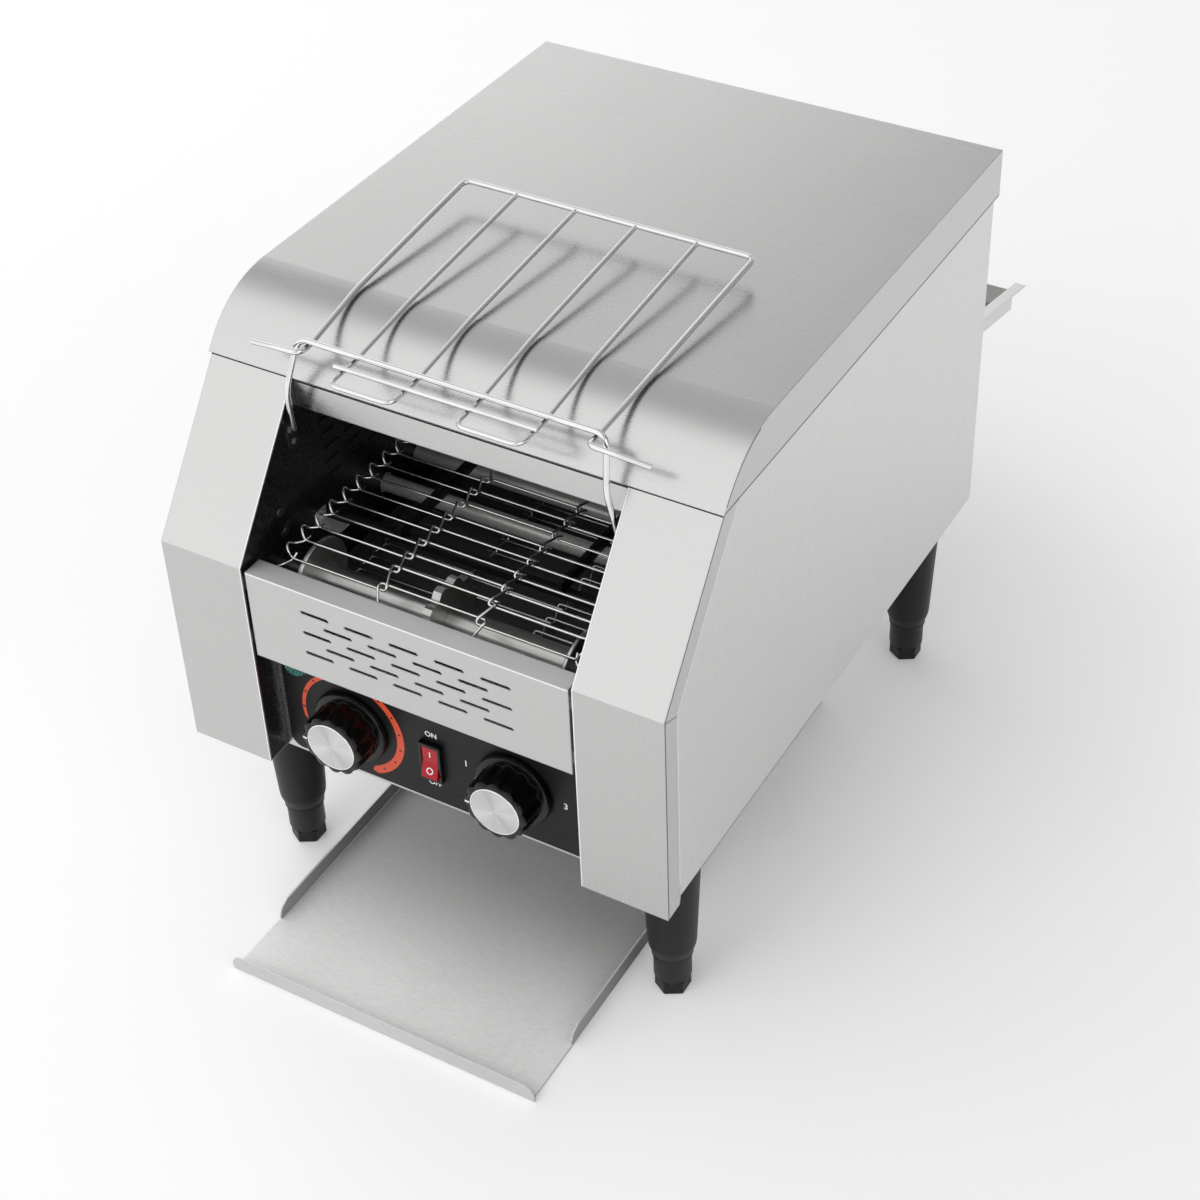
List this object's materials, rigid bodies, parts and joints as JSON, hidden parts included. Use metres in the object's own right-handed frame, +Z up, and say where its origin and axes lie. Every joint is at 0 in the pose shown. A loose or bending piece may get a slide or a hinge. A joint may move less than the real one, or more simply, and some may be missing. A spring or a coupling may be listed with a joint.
{
  "type": "conveyor toaster",
  "caption": "Countertop conveyor toaster: stainless body with a wire belt through a heated tunnel, wire bread rack on top, front and rear toast trays, knobs and levelling legs.",
  "frame": {"origin": "on the floor under the middle of the overall box, halfway between the front tray's lip and the tip of the rear catch tray", "axes": "+X to the machine's right seen from the front, +Y from front to back, +Z up"},
  "size_m": [0.365, 0.735, 0.4511],
  "materials": {
    "top_cover": "fine brushed stainless steel",
    "right_side_panel": "fine brushed stainless steel",
    "left_side_panel": "fine brushed stainless steel",
    "right_cheek": "fine brushed stainless steel",
    "left_cheek": "fine brushed stainless steel",
    "right_inner_wall": "heat-resistant black",
    "left_inner_wall": "heat-resistant black",
    "base_plate": "fine brushed stainless steel",
    "rear_panel": "fine brushed stainless steel",
    "opening_fascia": "fine brushed stainless steel",
    "front_grille": "fine brushed stainless steel",
    "control_panel": "fine brushed stainless steel",
    "control_overlay": "black printed label sheet",
    "control_shield": "plain steel",
    "conveyor_belt": "stainless belt wire",
    "drive_chain": "plain steel",
    "belt_rails": "heat-resistant black",
    "drive_motor": "dark grey enamel",
    "motor_bracket": "plain steel",
    "lower_heating_tubes": "milky quartz",
    "upper_heating_tubes": "milky quartz",
    "lower_tube_holders": "glazed ceramic",
    "upper_tube_holders": "glazed ceramic",
    "lower_reflector": "fine brushed stainless steel",
    "upper_reflector": "fine brushed stainless steel",
    "insulation_blanket": "ceramic fibre blanket",
    "fan_frame": "black moulded plastic",
    "toast_chute": "fine brushed stainless steel",
    "speed_controller": "circuit board and potentiometer",
    "selector_switch": "grey switch body",
    "rocker_housing": "black moulded plastic",
    "pilot_lamp": "green lens",
    "terminal_block": "moulded terminal block",
    "cord_gland": "black moulded plastic",
    "rack_post": "bright chromed wire",
    "rear_catch_tray": "fine brushed stainless steel",
    "front_left_bearing": "bronze bush",
    "front_right_bearing": "bronze bush",
    "rear_left_bearing": "bronze bush",
    "rear_right_bearing": "bronze bush",
    "legs": "black moulded plastic",
    "drive_shaft": "plain steel",
    "idler_roller": "plain steel",
    "motor_sprocket": "plain steel",
    "fan_rotor": "black moulded plastic",
    "speed_knob": "black moulded plastic",
    "speed_knob_cap": "spun aluminium",
    "speed_knob_pointer": "white inlay",
    "selector_knob": "black moulded plastic",
    "selector_knob_cap": "spun aluminium",
    "selector_knob_pointer": "white inlay",
    "rocker": "red lens plastic",
    "wire_rack": "bright chromed wire",
    "toast_tray": "fine brushed stainless steel",
    "front_left_foot": "black moulded plastic",
    "front_right_foot": "black moulded plastic",
    "rear_left_foot": "black moulded plastic",
    "rear_right_foot": "black moulded plastic"
  },
  "bodies": {
    "chassis": {"top_cover": "top_cover", "right_side_panel": "right_side_panel", "left_side_panel": "left_side_panel", "right_cheek": "right_cheek", "left_cheek": "left_cheek", "right_inner_wall": "right_inner_wall", "left_inner_wall": "left_inner_wall", "base_plate": "base_plate", "rear_panel": "rear_panel", "opening_fascia": "opening_fascia", "front_grille": "front_grille", "control_panel": "control_panel", "control_overlay": "control_overlay", "control_shield": "control_shield", "conveyor_belt": "conveyor_belt", "drive_chain": "drive_chain", "belt_rails": "belt_rails", "drive_motor": "drive_motor", "motor_bracket": "motor_bracket", "lower_heating_tubes": "lower_heating_tubes", "upper_heating_tubes": "upper_heating_tubes", "lower_tube_holders": "lower_tube_holders", "upper_tube_holders": "upper_tube_holders", "lower_reflector": "lower_reflector", "upper_reflector": "upper_reflector", "insulation_blanket": "insulation_blanket", "fan_frame": "fan_frame", "toast_chute": "toast_chute", "speed_controller": "speed_controller", "selector_switch": "selector_switch", "rocker_housing": "rocker_housing", "pilot_lamp": "pilot_lamp", "terminal_block": "terminal_block", "cord_gland": "cord_gland", "rack_post": "rack_post", "rear_catch_tray": "rear_catch_tray", "front_left_bearing": "front_left_bearing", "front_right_bearing": "front_right_bearing", "rear_left_bearing": "rear_left_bearing", "rear_right_bearing": "rear_right_bearing", "legs": "legs"},
    "rear_belt_shaft": {"drive_shaft": "drive_shaft"},
    "front_belt_roller": {"idler_roller": "idler_roller"},
    "motor_output": {"motor_sprocket": "motor_sprocket"},
    "fan_wheel": {"fan_rotor": "fan_rotor"},
    "speed_control": {"speed_knob": "speed_knob", "speed_knob_cap": "speed_knob_cap", "speed_knob_pointer": "speed_knob_pointer"},
    "selector_control": {"selector_knob": "selector_knob", "selector_knob_cap": "selector_knob_cap", "selector_knob_pointer": "selector_knob_pointer"},
    "switch_paddle": {"rocker": "rocker"},
    "bread_rack": {"wire_rack": "wire_rack"},
    "front_tray": {"toast_tray": "toast_tray"},
    "front_left_leveller": {"front_left_foot": "front_left_foot"},
    "front_right_leveller": {"front_right_foot": "front_right_foot"},
    "rear_left_leveller": {"rear_left_foot": "rear_left_foot"},
    "rear_right_leveller": {"rear_right_foot": "rear_right_foot"}
  },
  "joints": [
    {"name": "belt_drive", "type": "hinge", "parent": "chassis", "child": "rear_belt_shaft", "pos_m": [0, 0.0945, 0.266], "axis": [-1, 0, 0], "continuous": true, "deforming": ["conveyor_belt", "drive_chain"]},
    {"name": "roller_turn", "type": "hinge", "parent": "chassis", "child": "front_belt_roller", "pos_m": [0, -0.2505, 0.266], "axis": [-1, 0, 0], "continuous": true},
    {"name": "motor_turn", "type": "hinge", "parent": "chassis", "child": "motor_output", "pos_m": [0.16, 0.00867, 0.2059], "axis": [-1, 0, 0], "continuous": true},
    {"name": "fan_spin", "type": "hinge", "parent": "chassis", "child": "fan_wheel", "pos_m": [-0.1505, 0.169, 0.185], "axis": [0, 1, 0], "continuous": true},
    {"name": "speed_turn", "type": "hinge", "parent": "chassis", "child": "speed_control", "pos_m": [-0.062, -0.28, 0.177], "axis": [0, 1, 0], "range_deg": [0, 270]},
    {"name": "selector_turn", "type": "hinge", "parent": "chassis", "child": "selector_control", "pos_m": [0.062, -0.28, 0.177], "axis": [0, 1, 0], "range_deg": [0, 180]},
    {"name": "switch_tip", "type": "hinge", "parent": "chassis", "child": "switch_paddle", "pos_m": [0, -0.2785, 0.173], "axis": [1, 0, 0], "range_deg": [0, 14]},
    {"name": "rack_lift", "type": "hinge", "parent": "chassis", "child": "bread_rack", "pos_m": [0, -0.2295, 0.433], "axis": [1, 0, 0], "range_deg": [0, 20]},
    {"name": "tray_pull", "type": "slide", "parent": "chassis", "child": "front_tray", "axis": [0, -1, 0], "range_m": [0, 0.25]},
    {"name": "front_left_level", "type": "slide", "parent": "chassis", "child": "front_left_leveller", "axis": [0, 0, -1], "range_m": [0, 0.015]},
    {"name": "front_right_level", "type": "slide", "parent": "chassis", "child": "front_right_leveller", "axis": [0, 0, -1], "range_m": [0, 0.015]},
    {"name": "rear_left_level", "type": "slide", "parent": "chassis", "child": "rear_left_leveller", "axis": [0, 0, -1], "range_m": [0, 0.015]},
    {"name": "rear_right_level", "type": "slide", "parent": "chassis", "child": "rear_right_leveller", "axis": [0, 0, -1], "range_m": [0, 0.015]}
  ],
  "couplings": [
    {"joint": "roller_turn", "follows": "belt_drive", "ratio": 1},
    {"joint": "motor_turn", "follows": "belt_drive", "ratio": 1}
  ]
}
